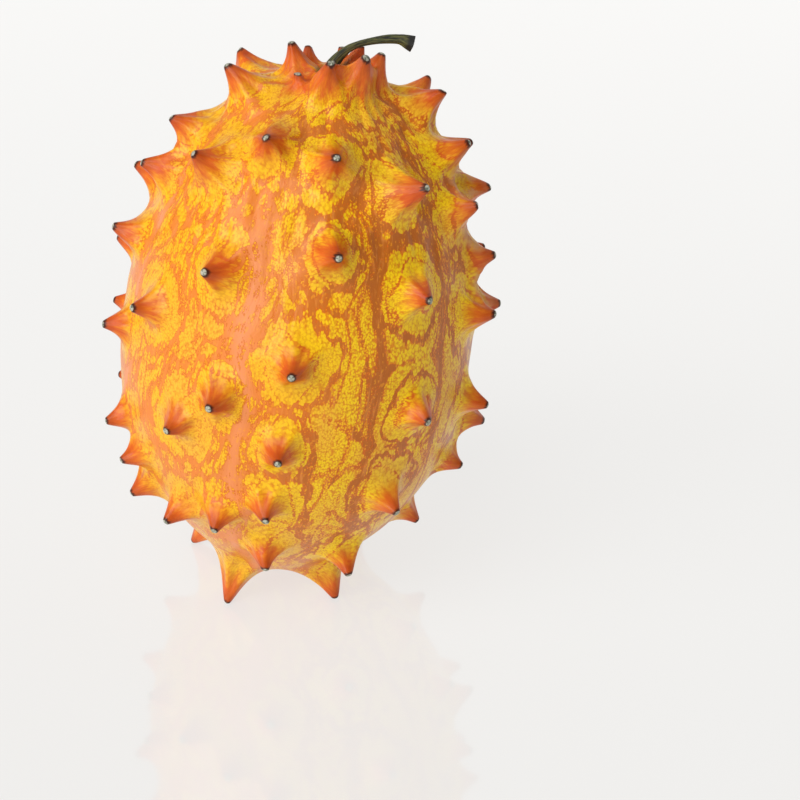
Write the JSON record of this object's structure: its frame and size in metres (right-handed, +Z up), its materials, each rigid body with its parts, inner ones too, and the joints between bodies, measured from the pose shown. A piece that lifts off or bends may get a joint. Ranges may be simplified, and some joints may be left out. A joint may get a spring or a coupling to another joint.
{
  "type": "horned melon",
  "caption": "Whole ripe horned melon with a spiny orange and yellow rind and a short dried stalk, standing on the horns of its blossom end.",
  "frame": {"origin": "on the surface the fruit stands on, under the middle of its bounding box", "axes": "+Z up, from the blossom end to the stem end; -Y is the front; +X is the fruit's right, towards which its axis leans by 6 degrees and curves a little"},
  "size_m": [0.0895, 0.0914, 0.1338],
  "materials": {
    "rind": "waxy, semi-gloss rind, coral orange with speckled yellow fields round the horns and dark horn tips",
    "dried_stalk": "dry, ridged, olive brown, rough"
  },
  "bodies": {
    "root": {"fruit": "rind", "stem": "dried_stalk"}
  },
  "joints": []
}
